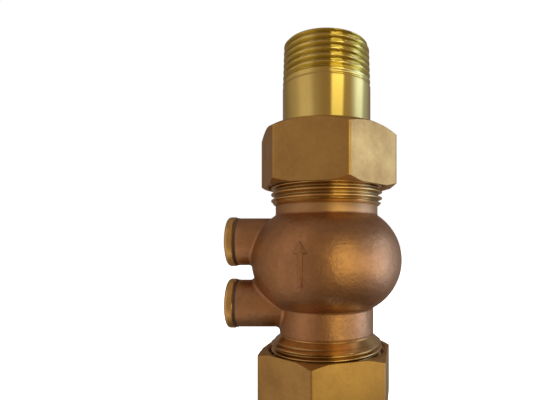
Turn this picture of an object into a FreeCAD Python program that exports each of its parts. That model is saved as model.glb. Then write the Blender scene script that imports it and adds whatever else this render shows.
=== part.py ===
import FreeCAD, Part
import math
import os

import Sketcher

# Non-return valve with union ends. Millimetres. The flow goes up, along +Z. The origin is on the
# valve's axis at the open end of the lower tail, and the two side bosses point along -X.

SIZES = {
    # Cast body, measured from the centre of its ball
    "ball_offset": 8.2,  # distance of the ball's arc centre from the axis
    "ball_radius": 20.0,  # radius of the ball's arc
    "casting_wall": 4.0,
    "ring_diameter": 38.5,  # plain ring over the ball
    "ring_top": 20.4,
    "upper_reach": 38.5,  # to the outlet end face
    "neck_diameter": 35.4,  # plain neck under the ball
    "neck_bottom": 27.5,
    "lower_reach": 44.6,  # to the inlet end face
    "union_thread": 41.91,
    "thread_chamfer": 1.2,
    "ring_fillet": 1.0,
    "neck_fillet": 1.2,
    # Flow way in the body
    "inlet_bore": 28.0,
    "seat_bore": 24.0,
    "seat_drop": 6.0,  # the seat's lip under the ball's centre
    "lip_width": 1.4,
    "lip_height": 1.2,
    "web_thickness": 4.0,
    "outlet_bore": 31.2,
    "guide_bore": 33.2,
    "guide_seat": 27.0,  # the guide's shoulder over the ball's centre
    "mouth_chamfer": 0.6,
    # Side bosses
    "boss_diameter": 17.8,
    "boss_reach": 33.2,  # end face to the valve's axis
    "upper_boss_rise": 6.8,
    "lower_boss_drop": 16.5,
    "boss_fillet": 1.6,
    "boss_bore_depth": 7.4,
    "port_diameter": 8.0,
    # Test plugs and their washers
    "plug_thread": 13.157,
    "plug_clearance": 0.12,
    "plug_thread_length": 7.4,
    "plug_collar": 18.6,
    "plug_collar_height": 3.1,
    "plug_edge": 1.2,
    "socket_flats": 7.0,
    "socket_depth": 5.0,
    "plug_washer_diameter": 18.0,
    "plug_washer_thickness": 0.8,
    "washer_clearance": 0.3,
    # Union nuts
    "nut_flats": 46.0,
    "nut_height": 21.4,
    "nut_shoulder": 3.8,
    "nut_crown": 44.4,  # diameter where the crown chamfer starts
    "nut_mouth": 48.0,  # the same at the open end
    "nut_chamfer_angle": 30.0,
    "nut_bore_clearance": 0.2,
    "nut_tail_clearance": 0.3,
    "upper_nut_turn": 46.45,
    "lower_nut_turn": 19.0,
    # Union tails and gaskets
    "tail_length": 42.0,  # body gasket to the open end
    "tail_diameter": 33.2,
    "tail_wall": 3.6,
    "tail_thread_length": 16.8,
    "tail_end_chamfer": 0.8,
    "taper_pitch": 2.309,
    "taper_ratio": 16.0,  # length over which the thread's diameter falls by 1
    "collar_diameter": 38.4,
    "collar_height": 4.0,
    "gasket_thickness": 2.0,
    "gasket_bore": 30.0,
    # Clapper and what it carries
    "clapper_lift": 8.0,
    "clapper_diameter": 30.6,
    "clapper_rim": 1.0,  # width of the skirt round the seal
    "clapper_thickness": 3.0,
    "skirt_depth": 1.5,
    "spring_land": 16.0,
    "seal_thickness": 2.5,
    "seal_clearance": 0.1,
    "clamp_diameter": 21.6,
    "clamp_thickness": 2.0,
    "clamp_chamfer": 0.8,
    # Stem and stem nut
    "stem_diameter": 8.0,
    "stem_shoulder": 10.4,
    "stem_tail_diameter": 6.0,
    "stem_fit": 0.05,
    "stem_nut_flats": 10.0,
    "stem_nut_height": 5.0,
    "stem_tail_end": 1.0,
    "stem_point": 0.5,
    "stop_clearance": 0.3,
    # Guide, bush, circlip and spring
    "hub_diameter": 16.0,
    "hub_height": 7.5,
    "arm_height": 3.5,
    "arm_width": 3.2,
    "rim_width": 2.2,
    "rim_clearance": 0.1,
    "bush_wall": 1.4,
    "bush_flange": 14.0,
    "bush_flange_thickness": 1.0,
    "bush_fit": 0.05,
    "stem_lead": 1.0,  # the stem's end over the bush when it is closed
    "circlip_thickness": 1.2,
    "circlip_width": 2.4,
    "circlip_depth": 0.9,  # how far it stands in its groove
    "circlip_gap": 9.0,
    "circlip_lug": 4.2,
    "circlip_hole": 1.6,
    "groove_clearance": 0.1,
    "spring_wire": 1.2,
    "spring_mean": 13.2,
    "spring_turns": 6.0,
    "spring_seat": 0.05,
}

GUIDE_ARMS = 3
THREAD_DEPTH = 0.6403  # of a Whitworth thread, in pitches
THREAD_ROOT = 1 / 6  # width of the groove at its root, in pitches
THREAD_FLANK = 27.5  # degrees
THREAD_MARGIN = 0.04  # how far the groove's cutter stands over the crests, in pitches
CUT_MARGIN = "1"  # how far a cut reaches past the metal that it takes away

ALONG_X = FreeCAD.Vector(1, 0, 0)
ALONG_Y = FreeCAD.Vector(0, 1, 0)
UPRIGHT = FreeCAD.Rotation()
UPSIDE_DOWN = FreeCAD.Rotation(ALONG_X, 180)
TOWARDS_LEFT = FreeCAD.Rotation(ALONG_Y, -90)

doc = FreeCAD.newDocument("non_return_valve")
sheet = doc.addObject("Spreadsheet::Sheet", "Sizes")
for row, (alias, value) in enumerate(SIZES.items(), start=1):
    sheet.set(f"A{row}", alias)
    sheet.set(f"B{row}", str(value))
    sheet.setAlias(f"B{row}", alias)
doc.recompute()

# Heights and radii that more than one piece reads, as expressions of the sheet's cells
BALL_HEIGHT = "(Sizes.lower_reach + Sizes.tail_length)"
OUTLET_FACE = f"({BALL_HEIGHT} + Sizes.upper_reach)"
INLET_FACE = f"({BALL_HEIGHT} - Sizes.lower_reach)"
THREAD_RADIUS = "(Sizes.union_thread / 2)"
RING_RADIUS = "(Sizes.ring_diameter / 2)"
NECK_RADIUS = "(Sizes.neck_diameter / 2)"
CHAMBER_ARC = "(Sizes.ball_radius - Sizes.casting_wall)"
SEAT_LIP = "(-Sizes.seat_drop)"
WEB_TOP = f"({SEAT_LIP} - Sizes.lip_height)"
WEB_UNDERSIDE = f"({WEB_TOP} - Sizes.web_thickness)"
CLAPPER_TOP = f"({SEAT_LIP} + Sizes.seal_thickness + Sizes.clapper_thickness)"
CLAMP_UNDERSIDE = f"({SEAT_LIP} - Sizes.clamp_thickness)"
STEM_RADIUS = "(Sizes.stem_diameter / 2)"
STEM_TAIL_RADIUS = "(Sizes.stem_tail_diameter / 2)"
STEM_TAIL_HOLE = f"({STEM_TAIL_RADIUS} + Sizes.stem_fit)"
GUIDE_TOP = "(Sizes.guide_seat + Sizes.arm_height)"
HUB_UNDERSIDE = f"({GUIDE_TOP} - Sizes.hub_height)"
GROOVE_RADIUS = "(Sizes.guide_bore / 2 + Sizes.circlip_depth + Sizes.groove_clearance)"
BUSH_BORE = f"({STEM_RADIUS} + Sizes.stem_fit)"
BUSH_RADIUS = f"({BUSH_BORE} + Sizes.bush_wall)"
BUSH_TOP = f"({GUIDE_TOP} + Sizes.bush_flange_thickness)"
PLUG_HOLE = "(Sizes.plug_thread / 2 + Sizes.plug_clearance)"


def number(expression):
    """The value that an expression of the sheet's cells has now."""
    return float(sheet.evalExpression(expression))


def on_the_arc(radius, arc):
    """Height over the ball's centre where an arc round the ball's centre reaches a radius."""
    return f"sqrt({arc} ^ 2 - ({radius} - Sizes.ball_offset) ^ 2)"


def fillet_to_ball(radius, fillet):
    """Where a fillet between a cylinder and the ball starts: (height on the cylinder, the ball's
    radius and height at its other end), all over the ball's centre."""
    reach = f"(Sizes.ball_radius + {fillet})"
    outward = f"({radius} + {fillet} - Sizes.ball_offset)"
    start = f"sqrt({reach} ^ 2 - {outward} ^ 2)"
    share = f"(Sizes.ball_radius / {reach})"
    return start, f"(Sizes.ball_offset + {outward} * {share})", f"({start} * {share})"


def new_body(label, height, turned=UPRIGHT, side="0"):
    """An empty body with its Label and its Placement: height along Z, side along X."""
    body = doc.addObject("PartDesign::Body", label)
    body.Label = label
    body.Placement = FreeCAD.Placement(FreeCAD.Vector(), turned)
    body.setExpression("Placement.Base.z", height)
    body.setExpression("Placement.Base.x", side)
    return body


def new_sketch(body, name, plane, height="0"):
    """A sketch on one of the body's own planes, moved by height along the plane's normal."""
    sketch = body.newObject("Sketcher::SketchObject", name)
    origin_plane = next(f for f in body.Origin.OriginFeatures if f.Role == plane)
    sketch.AttachmentSupport = [(origin_plane, "")]
    sketch.MapMode = "FlatFace"
    sketch.setExpression("AttachmentOffset.Base.z", height)
    return sketch


def bind(sketch, constraint, expression):
    """Adds a dimension to the sketch and ties it to the sheet."""
    index = sketch.addConstraint(constraint)
    sketch.setExpression(f"Constraints[{index}]", expression)


def arc_between(start, end, radius):
    """The short arc from start to end. A positive radius bulges to the right of the way there."""
    chord = end - start
    middle = (start + end) * 0.5
    across = FreeCAD.Vector(chord.y, -chord.x, 0).normalize()
    rise = math.sqrt(radius**2 - (chord.Length / 2) ** 2)
    side = 1 if radius > 0 else -1
    top = middle + across * (side * (abs(radius) - rise))
    return Part.Arc(start, top, end)


def draw_outline(sketch, corners):
    """Draws a closed outline. A corner is (radius, height), and a third value bends its next edge."""
    places = [FreeCAD.Vector(number(corner[0]), number(corner[1]), 0) for corner in corners]
    following = places[1:] + places[:1]
    edges = []
    for corner, start, end in zip(corners, places, following):
        if len(corner) == 3:
            edges.append(sketch.addGeometry(arc_between(start, end, number(corner[2]))))
        else:
            edges.append(sketch.addGeometry(Part.LineSegment(start, end)))
    # An arc that runs clockwise in the sketch is stored the other way round
    first_point, last_point = {}, {}
    for edge, start in zip(edges, places):
        swapped = sketch.getPoint(edge, 1).distanceToPoint(start) > 1e-6
        first_point[edge] = 2 if swapped else 1
        last_point[edge] = 1 if swapped else 2
    for edge, after in zip(edges, edges[1:] + edges[:1]):
        sketch.addConstraint(
            Sketcher.Constraint("Coincident", edge, last_point[edge], after, first_point[after])
        )
    for edge, corner, place in zip(edges, corners, places):
        point = first_point[edge]
        if corner[0] == "0":
            sketch.addConstraint(Sketcher.Constraint("PointOnObject", edge, point, -2))
        else:
            bind(sketch, Sketcher.Constraint("DistanceX", -1, 1, edge, point, place.x), corner[0])
        bind(sketch, Sketcher.Constraint("DistanceY", -1, 1, edge, point, place.y), corner[1])
        if len(corner) == 3:
            radius = Sketcher.Constraint("Radius", edge, abs(number(corner[2])))
            bind(sketch, radius, f"abs({corner[2]})")


def draw_circle(sketch, radius, across="0", up="0"):
    """Draws a circle whose radius and centre are tied to the sheet."""
    centre = FreeCAD.Vector(number(across), number(up), 0)
    circle = Part.Circle(centre, FreeCAD.Vector(0, 0, 1), number(radius))
    index = sketch.addGeometry(circle)
    bind(sketch, Sketcher.Constraint("Radius", index, number(radius)), radius)
    for kind, place, value in (("DistanceX", across, centre.x), ("DistanceY", up, centre.y)):
        bind(sketch, Sketcher.Constraint(kind, -1, 1, index, 3, value), place)


def hexagon(flats, turn="0"):
    """The corners of a hexagon with that distance between its flats, turned by so many degrees."""
    reach = f"{flats} / sqrt(3)"
    angles = [f"({turn} + {60 * side}) * 1 deg" for side in range(6)]
    return [(f"{reach} * cos({angle})", f"{reach} * sin({angle})") for angle in angles]


def revolve(body, name, corners, kind="PartDesign::Revolution"):
    """Turns an outline once round the body's axis, as a solid or as a cut."""
    sketch = new_sketch(body, f"{name}_profile", "XZ_Plane")
    draw_outline(sketch, corners)
    feature = body.newObject(kind, name)
    feature.Profile = sketch
    feature.ReferenceAxis = (sketch, ["V_Axis"])
    feature.Angle = 360
    doc.recompute()
    return feature


def turn_away(body, name, corners):
    """Cuts an outline away all the way round the body's axis."""
    return revolve(body, name, corners, "PartDesign::Groove")


def extrude(body, name, sketch, length, kind="PartDesign::Pad", reverse=False):
    """Pads a sketch, or pockets it, by a length tied to the sheet."""
    feature = body.newObject(kind, name)
    feature.Profile = sketch
    feature.setExpression("Length", length)
    feature.Reversed = reverse
    doc.recompute()
    return feature


def pocket(body, name, sketch, length, reverse=False):
    """Cuts a sketch's shape into the body."""
    return extrude(body, name, sketch, length, "PartDesign::Pocket", reverse)


def round_edges(body, name, base, edge_names, radius):
    """Rounds the named edges of a feature."""
    feature = body.newObject("PartDesign::Fillet", name)
    feature.Base = (base, edge_names)
    feature.setExpression("Radius", radius)
    doc.recompute()
    return feature


def named_edges(feature, wanted):
    """The names of a feature's edges for which wanted(edge) is true."""
    edges = enumerate(feature.Shape.Edges, start=1)
    return [f"Edge{index}" for index, edge in edges if wanted(edge)]


def cast_outside(body):
    """The body's outside, without its bosses: both threads, the ring, the ball and the neck."""
    ring_foot, ring_ball, ring_ball_height = fillet_to_ball(RING_RADIUS, "Sizes.ring_fillet")
    neck_head, neck_ball, neck_ball_height = fillet_to_ball(NECK_RADIUS, "Sizes.neck_fillet")
    thread_root = f"({THREAD_RADIUS} - Sizes.thread_chamfer)"
    corners = [
        ("0", "-Sizes.lower_reach"),
        (thread_root, "-Sizes.lower_reach"),
        (THREAD_RADIUS, "-Sizes.lower_reach + Sizes.thread_chamfer"),
        (THREAD_RADIUS, f"-Sizes.neck_bottom - ({THREAD_RADIUS} - {NECK_RADIUS})"),
        (NECK_RADIUS, "-Sizes.neck_bottom"),
        (NECK_RADIUS, f"-{neck_head}", "-Sizes.neck_fillet"),
        (neck_ball, f"-{neck_ball_height}", "Sizes.ball_radius"),
        (ring_ball, ring_ball_height, "-Sizes.ring_fillet"),
        (RING_RADIUS, ring_foot),
        (RING_RADIUS, "Sizes.ring_top"),
        (thread_root, "Sizes.ring_top"),
        (THREAD_RADIUS, "Sizes.ring_top + Sizes.thread_chamfer"),
        (THREAD_RADIUS, "Sizes.upper_reach - Sizes.thread_chamfer"),
        (thread_root, "Sizes.upper_reach"),
        ("0", "Sizes.upper_reach"),
    ]
    return revolve(body, "cast_outside", corners)


def side_bosses(body):
    """The two bosses towards -X, with a fillet where each one grows out of the ball."""
    for name, height in (("upper", "Sizes.upper_boss_rise"), ("lower", "-Sizes.lower_boss_drop")):
        sketch = new_sketch(body, f"{name}_boss_circle", "YZ_Plane")
        draw_circle(sketch, "Sizes.boss_diameter / 2", up=height)
        boss = extrude(body, f"{name}_boss", sketch, "Sizes.boss_reach", reverse=True)
    round_face = [face for face in boss.Shape.Faces if isinstance(face.Surface, Part.Cylinder)]
    boss_faces = [face for face in round_face if abs(face.Surface.Axis.x) > 0.9]
    end = -number("Sizes.boss_reach")
    junctions = []
    for face in boss_faces:
        junctions += [edge for edge in face.Edges if edge.BoundBox.XMax - end > 1.0]
    straight = (Part.Line, Part.LineSegment)
    junctions = [edge for edge in junctions if not isinstance(edge.Curve, straight)]
    names = named_edges(boss, lambda edge: any(edge.isSame(other) for other in junctions))
    return round_edges(body, "boss_fillet", boss, names, "Sizes.boss_fillet")


def flow_way(body):
    """The way through the casting: inlet, seat with its lip, chamber, outlet and guide bore."""
    inlet = "(Sizes.inlet_bore / 2)"
    seat = "(Sizes.seat_bore / 2)"
    lip = f"({seat} + Sizes.lip_width)"
    outlet = "(Sizes.outlet_bore / 2)"
    guide = "(Sizes.guide_bore / 2)"
    under_web = f"(Sizes.ball_offset + sqrt({CHAMBER_ARC} ^ 2 - {WEB_UNDERSIDE} ^ 2))"
    over_web = f"(Sizes.ball_offset + sqrt({CHAMBER_ARC} ^ 2 - {WEB_TOP} ^ 2))"
    groove_top = f"({GUIDE_TOP} + Sizes.circlip_thickness + Sizes.groove_clearance)"
    corners = [
        ("0", "-Sizes.lower_reach"),
        (f"{inlet} + Sizes.mouth_chamfer", "-Sizes.lower_reach"),
        (inlet, "-Sizes.lower_reach + Sizes.mouth_chamfer"),
        (inlet, f"-{on_the_arc(inlet, CHAMBER_ARC)}", CHAMBER_ARC),
        (under_web, WEB_UNDERSIDE),
        (seat, WEB_UNDERSIDE),
        (seat, SEAT_LIP),
        (lip, SEAT_LIP),
        (lip, WEB_TOP),
        (over_web, WEB_TOP, CHAMBER_ARC),
        (outlet, on_the_arc(outlet, CHAMBER_ARC)),
        (outlet, "Sizes.guide_seat"),
        (guide, "Sizes.guide_seat"),
        (guide, GUIDE_TOP),
        (GROOVE_RADIUS, GUIDE_TOP),
        (GROOVE_RADIUS, groove_top),
        (guide, groove_top),
        (guide, "Sizes.upper_reach - Sizes.mouth_chamfer"),
        (f"{guide} + Sizes.mouth_chamfer", "Sizes.upper_reach"),
        ("0", "Sizes.upper_reach"),
    ]
    return turn_away(body, "flow_way", corners)


def boss_bores(body):
    """Each boss's threaded hole and the narrow port from there into the flow way."""
    end = "-Sizes.boss_reach"
    for name, height in (("upper", "Sizes.upper_boss_rise"), ("lower", "-Sizes.lower_boss_drop")):
        hole = new_sketch(body, f"{name}_hole_circle", "YZ_Plane", height=end)
        draw_circle(hole, PLUG_HOLE, up=height)
        pocket(body, f"{name}_hole", hole, "Sizes.boss_bore_depth", reverse=True)
        port = new_sketch(body, f"{name}_port_circle", "YZ_Plane", height=end)
        draw_circle(port, "Sizes.port_diameter / 2", up=height)
        pocket(body, f"{name}_port", port, "Sizes.boss_reach", reverse=True)


def make_valve_body():
    """The bronze casting with its machined threads, seat and bores."""
    body = new_body("valve_body", BALL_HEIGHT)
    cast_outside(body)
    side_bosses(body)
    flow_way(body)
    boss_bores(body)
    return body


def make_union_nut(label, face, turned, turn):
    """A union nut. Its frame starts at the body's end face, and its closed end points away."""
    body = new_body(label, face, turned)
    shoulder = "(Sizes.gasket_thickness + Sizes.collar_height)"
    closed_end = f"({shoulder} + Sizes.nut_shoulder)"
    open_end = f"({closed_end} - Sizes.nut_height)"
    bore = f"({THREAD_RADIUS} + Sizes.nut_bore_clearance)"
    tail_hole = "(Sizes.tail_diameter / 2 + Sizes.nut_tail_clearance)"
    outside = f"(Sizes.nut_flats / sqrt(3) + {CUT_MARGIN})"
    slope = "tan(Sizes.nut_chamfer_angle * 1 deg)"
    sketch = new_sketch(body, "hexagon", "XY_Plane", height=open_end)
    draw_outline(sketch, hexagon("Sizes.nut_flats", turn))
    extrude(body, "prism", sketch, "Sizes.nut_height")
    for name, crown, end, away in (
        ("crown", "Sizes.nut_crown", closed_end, "-"),
        ("mouth_edge", "Sizes.nut_mouth", open_end, "+"),
    ):
        drop = f"({outside} - {crown} / 2) * {slope}"
        corners = [
            (f"{crown} / 2", end),
            (outside, end),
            (outside, f"{end} {away} {drop}"),
        ]
        turn_away(body, name, corners)
    corners = [
        ("0", open_end),
        (f"{bore} + Sizes.thread_chamfer", open_end),
        (bore, f"{open_end} + Sizes.thread_chamfer"),
        (bore, shoulder),
        (tail_hole, shoulder),
        (tail_hole, closed_end),
        ("0", closed_end),
    ]
    turn_away(body, "bore", corners)
    return body


def make_tail(label, face, turned):
    """A union tail: collar, plain shank and taper thread, with a straight bore."""
    body = new_body(label, face, turned)
    shank = "(Sizes.tail_diameter / 2)"
    bore = f"({shank} - Sizes.tail_wall)"
    cone_end = "(Sizes.tail_length - Sizes.tail_end_chamfer)"
    cone = "(Sizes.tail_thread_length - Sizes.tail_end_chamfer)"
    end = f"({shank} - {cone} / Sizes.taper_ratio / 2)"
    collar_top = "(Sizes.gasket_thickness + Sizes.collar_height)"
    corners = [
        (bore, "Sizes.gasket_thickness"),
        ("Sizes.collar_diameter / 2", "Sizes.gasket_thickness"),
        ("Sizes.collar_diameter / 2", collar_top),
        (shank, collar_top),
        (shank, "Sizes.tail_length - Sizes.tail_thread_length"),
        (end, cone_end),
        (f"{end} - Sizes.tail_end_chamfer", "Sizes.tail_length"),
        (bore, "Sizes.tail_length"),
    ]
    revolve(body, "turned_tail", corners)
    cut_taper_thread(body, end, cone_end)
    return body


def cut_taper_thread(body, end, cone_end):
    """Cuts the taper thread. The cutter starts one turn past the open end and runs inwards."""
    start = "(Sizes.tail_length + Sizes.taper_pitch)"
    crest = f"({end} - ({start} - {cone_end}) / Sizes.taper_ratio / 2)"
    root = f"({crest} - {THREAD_DEPTH} * Sizes.taper_pitch)"
    rim = f"({crest} + {THREAD_MARGIN} * Sizes.taper_pitch)"
    narrow = f"({THREAD_ROOT} / 2 * Sizes.taper_pitch)"
    wide = f"({narrow} + ({rim} - {root}) * tan({THREAD_FLANK} * 1 deg))"
    groove = new_sketch(body, "groove_profile", "XZ_Plane")
    corners = [
        (root, f"{start} - {narrow}"),
        (rim, f"{start} - {wide}"),
        (rim, f"{start} + {wide}"),
        (root, f"{start} + {narrow}"),
    ]
    draw_outline(groove, corners)
    thread = body.newObject("PartDesign::SubtractiveHelix", "taper_thread")
    thread.Profile = groove
    thread.ReferenceAxis = (groove, ["V_Axis"])
    thread.Mode = "pitch-height-angle"
    thread.Reversed = True
    thread.setExpression("Pitch", "Sizes.taper_pitch")
    thread.setExpression("Height", "Sizes.tail_thread_length + Sizes.taper_pitch / 2")
    thread.setExpression("Angle", "atan(1 / Sizes.taper_ratio / 2)")
    doc.recompute()


def make_gasket(label, face, turned):
    """The flat ring between the body's end face and the tail's collar."""
    body = new_body(label, face, turned)
    corners = [
        ("Sizes.gasket_bore / 2", "0"),
        ("Sizes.collar_diameter / 2", "0"),
        ("Sizes.collar_diameter / 2", "Sizes.gasket_thickness"),
        ("Sizes.gasket_bore / 2", "Sizes.gasket_thickness"),
    ]
    revolve(body, "flat_ring", corners)
    return body


def make_plug_washer(label, height):
    """The sealing washer between a boss's end face and the plug's collar."""
    body = new_body(label, height, TOWARDS_LEFT, "-Sizes.boss_reach")
    hole = "(Sizes.plug_thread / 2 + Sizes.washer_clearance)"
    corners = [
        (hole, "0"),
        ("Sizes.plug_washer_diameter / 2", "0"),
        ("Sizes.plug_washer_diameter / 2", "Sizes.plug_washer_thickness"),
        (hole, "Sizes.plug_washer_thickness"),
    ]
    revolve(body, "flat_ring", corners)
    return body


def make_test_plug(label, height):
    """A collar plug with a rounded rim and a hexagon socket. Its frame starts at the boss's end."""
    body = new_body(label, height, TOWARDS_LEFT, "-Sizes.boss_reach")
    collar = "(Sizes.plug_collar / 2)"
    thread = "(Sizes.plug_thread / 2)"
    underside = "Sizes.plug_washer_thickness"
    outer_end = f"({underside} + Sizes.plug_collar_height)"
    inner_end = f"({underside} - Sizes.plug_thread_length)"
    corners = [
        ("0", inner_end),
        (f"{thread} - Sizes.thread_chamfer", inner_end),
        (thread, f"{inner_end} + Sizes.thread_chamfer"),
        (thread, underside),
        (collar, underside),
        (collar, f"{outer_end} - Sizes.plug_edge", "Sizes.plug_edge"),
        (f"{collar} - Sizes.plug_edge", outer_end),
        ("0", outer_end),
    ]
    revolve(body, "turned_plug", corners)
    sketch = new_sketch(body, "socket_hexagon", "XY_Plane", height=outer_end)
    draw_outline(sketch, hexagon("Sizes.socket_flats"))
    pocket(body, "socket", sketch, "Sizes.socket_depth")
    return body


def make_clapper():
    """The disc over the seat, with a land for the spring and a skirt round its seal."""
    body = new_body("clapper", BALL_HEIGHT)
    rim = "(Sizes.clapper_diameter / 2)"
    underside = f"({SEAT_LIP} + Sizes.seal_thickness)"
    shoulder = f"({underside} + Sizes.clapper_thickness / 2)"
    corners = [
        (STEM_TAIL_HOLE, underside),
        (f"{rim} - Sizes.clapper_rim", underside),
        (f"{rim} - Sizes.clapper_rim", f"{underside} - Sizes.skirt_depth"),
        (rim, f"{underside} - Sizes.skirt_depth"),
        (rim, shoulder),
        ("Sizes.spring_land / 2", CLAPPER_TOP),
        (STEM_TAIL_HOLE, CLAPPER_TOP),
    ]
    revolve(body, "disc", corners)
    return body


def make_clapper_seal():
    """The flat rubber ring that closes on the seat's lip."""
    body = new_body("clapper_seal", BALL_HEIGHT)
    outside = "Sizes.clapper_diameter / 2 - Sizes.clapper_rim - Sizes.seal_clearance"
    corners = [
        (STEM_TAIL_HOLE, SEAT_LIP),
        (outside, SEAT_LIP),
        (outside, f"{SEAT_LIP} + Sizes.seal_thickness"),
        (STEM_TAIL_HOLE, f"{SEAT_LIP} + Sizes.seal_thickness"),
    ]
    revolve(body, "flat_ring", corners)
    return body


def make_clamp_washer():
    """The washer under the seal, small enough to pass the seat."""
    body = new_body("seal_clamp_washer", BALL_HEIGHT)
    outside = "Sizes.clamp_diameter / 2"
    corners = [
        (STEM_TAIL_HOLE, CLAMP_UNDERSIDE),
        (f"{outside} - Sizes.clamp_chamfer", CLAMP_UNDERSIDE),
        (outside, f"{CLAMP_UNDERSIDE} + Sizes.clamp_chamfer"),
        (outside, SEAT_LIP),
        (STEM_TAIL_HOLE, SEAT_LIP),
    ]
    revolve(body, "flat_ring", corners)
    return body


def make_clapper_stem():
    """The stem: a guided upper end, a shoulder that stops the lift and a threaded lower end."""
    body = new_body("clapper_stem", BALL_HEIGHT)
    foot = f"({CLAMP_UNDERSIDE} - Sizes.stem_nut_height - Sizes.stem_tail_end)"
    shoulder_top = f"({HUB_UNDERSIDE} - Sizes.clapper_lift - Sizes.stop_clearance)"
    head = f"({BUSH_TOP} + Sizes.stem_lead)"
    corners = [
        ("0", foot),
        (f"{STEM_TAIL_RADIUS} - Sizes.stem_point", foot),
        (STEM_TAIL_RADIUS, f"{foot} + Sizes.stem_point"),
        (STEM_TAIL_RADIUS, CLAPPER_TOP),
        ("Sizes.stem_shoulder / 2", CLAPPER_TOP),
        ("Sizes.stem_shoulder / 2", shoulder_top),
        (STEM_RADIUS, shoulder_top),
        (STEM_RADIUS, f"{head} - Sizes.stem_point"),
        (f"{STEM_RADIUS} - Sizes.stem_point", head),
        ("0", head),
    ]
    revolve(body, "turned_stem", corners)
    return body


def make_stem_nut():
    """The hexagon nut that clamps washer, seal and disc against the stem's shoulder."""
    body = new_body("stem_nut", BALL_HEIGHT)
    foot = f"({CLAMP_UNDERSIDE} - Sizes.stem_nut_height)"
    flats = "Sizes.stem_nut_flats"
    outside = f"({flats} / sqrt(3) + {CUT_MARGIN})"
    drop = f"({outside} - {flats} / 2) * tan(Sizes.nut_chamfer_angle * 1 deg)"
    sketch = new_sketch(body, "hexagon", "XY_Plane", height=foot)
    draw_outline(sketch, hexagon(flats))
    extrude(body, "prism", sketch, "Sizes.stem_nut_height")
    corners = [(f"{flats} / 2", foot), (outside, foot), (outside, f"{foot} + {drop}")]
    turn_away(body, "crown", corners)
    hole = new_sketch(body, "hole_circle", "XY_Plane", height=foot)
    draw_circle(hole, STEM_TAIL_HOLE)
    pocket(body, "hole", hole, "Sizes.stem_nut_height", reverse=True)
    return body


def make_stem_guide():
    """The guide in the outlet neck: a hub for the bush, three arms and a rim on the shoulder."""
    body = new_body("stem_guide", BALL_HEIGHT)
    rim_outside = "(Sizes.guide_bore / 2 - Sizes.rim_clearance)"
    rim_inside = f"({rim_outside} - Sizes.rim_width)"
    hub_sketch = new_sketch(body, "hub_circle", "XY_Plane", height=HUB_UNDERSIDE)
    draw_circle(hub_sketch, "Sizes.hub_diameter / 2")
    extrude(body, "hub", hub_sketch, "Sizes.hub_height")
    arm_sketch = new_sketch(body, "arm_outline", "XY_Plane", height="Sizes.guide_seat")
    arm_start = "Sizes.hub_diameter / 4"
    arm_end = f"{rim_inside} + Sizes.rim_width / 2"
    arm_corners = [
        (arm_start, "-Sizes.arm_width / 2"),
        (arm_end, "-Sizes.arm_width / 2"),
        (arm_end, "Sizes.arm_width / 2"),
        (arm_start, "Sizes.arm_width / 2"),
    ]
    draw_outline(arm_sketch, arm_corners)
    arm = extrude(body, "arm", arm_sketch, "Sizes.arm_height")
    arms = body.newObject("PartDesign::PolarPattern", "arms")
    arms.Originals = [arm]
    arms.Axis = (arm_sketch, ["N_Axis"])
    arms.Angle = 360
    arms.Occurrences = GUIDE_ARMS
    body.Tip = arms
    doc.recompute()
    rim_sketch = new_sketch(body, "rim_circles", "XY_Plane", height="Sizes.guide_seat")
    draw_circle(rim_sketch, rim_outside)
    draw_circle(rim_sketch, rim_inside)
    extrude(body, "rim", rim_sketch, "Sizes.arm_height")
    hole = new_sketch(body, "bush_circle", "XY_Plane", height=HUB_UNDERSIDE)
    draw_circle(hole, f"{BUSH_RADIUS} + Sizes.bush_fit")
    pocket(body, "bush_hole", hole, "Sizes.hub_height", reverse=True)
    return body


def make_guide_bush():
    """The flanged bush that the stem slides in."""
    body = new_body("guide_bush", BALL_HEIGHT)
    corners = [
        (BUSH_BORE, HUB_UNDERSIDE),
        (BUSH_RADIUS, HUB_UNDERSIDE),
        (BUSH_RADIUS, GUIDE_TOP),
        ("Sizes.bush_flange / 2", GUIDE_TOP),
        ("Sizes.bush_flange / 2", BUSH_TOP),
        (BUSH_BORE, BUSH_TOP),
    ]
    revolve(body, "turned_bush", corners)
    return body


def make_guide_circlip():
    """The open ring in its groove over the guide, with a lug and a hole at each end."""
    body = new_body("guide_circlip", BALL_HEIGHT)
    outside = "(Sizes.guide_bore / 2 + Sizes.circlip_depth)"
    inside = f"({outside} - Sizes.circlip_width)"
    lug_reach = f"({inside} - Sizes.circlip_lug / 4)"
    lug_side = "(Sizes.circlip_gap / 2 + Sizes.circlip_lug / 2)"
    ring = new_sketch(body, "ring_circles", "XY_Plane", height=GUIDE_TOP)
    draw_circle(ring, outside)
    draw_circle(ring, inside)
    extrude(body, "ring", ring, "Sizes.circlip_thickness")
    gap = new_sketch(body, "gap_outline", "XY_Plane", height=GUIDE_TOP)
    gap_start = f"({inside} / 2)"
    gap_end = f"({outside} + {CUT_MARGIN})"
    gap_corners = [
        (gap_start, "-Sizes.circlip_gap / 2"),
        (gap_end, "-Sizes.circlip_gap / 2"),
        (gap_end, "Sizes.circlip_gap / 2"),
        (gap_start, "Sizes.circlip_gap / 2"),
    ]
    draw_outline(gap, gap_corners)
    pocket(body, "gap", gap, "Sizes.circlip_thickness", reverse=True)
    for name, side in (("left", lug_side), ("right", f"-{lug_side}")):
        across = f"sqrt({lug_reach} ^ 2 - {lug_side} ^ 2)"
        lug = new_sketch(body, f"{name}_lug_circle", "XY_Plane", height=GUIDE_TOP)
        draw_circle(lug, "Sizes.circlip_lug / 2", across, side)
        extrude(body, f"{name}_lug", lug, "Sizes.circlip_thickness")
        hole = new_sketch(body, f"{name}_hole_circle", "XY_Plane", height=GUIDE_TOP)
        draw_circle(hole, "Sizes.circlip_hole / 2", across, side)
        pocket(body, f"{name}_hole", hole, "Sizes.circlip_thickness", reverse=True)
    return body


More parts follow.
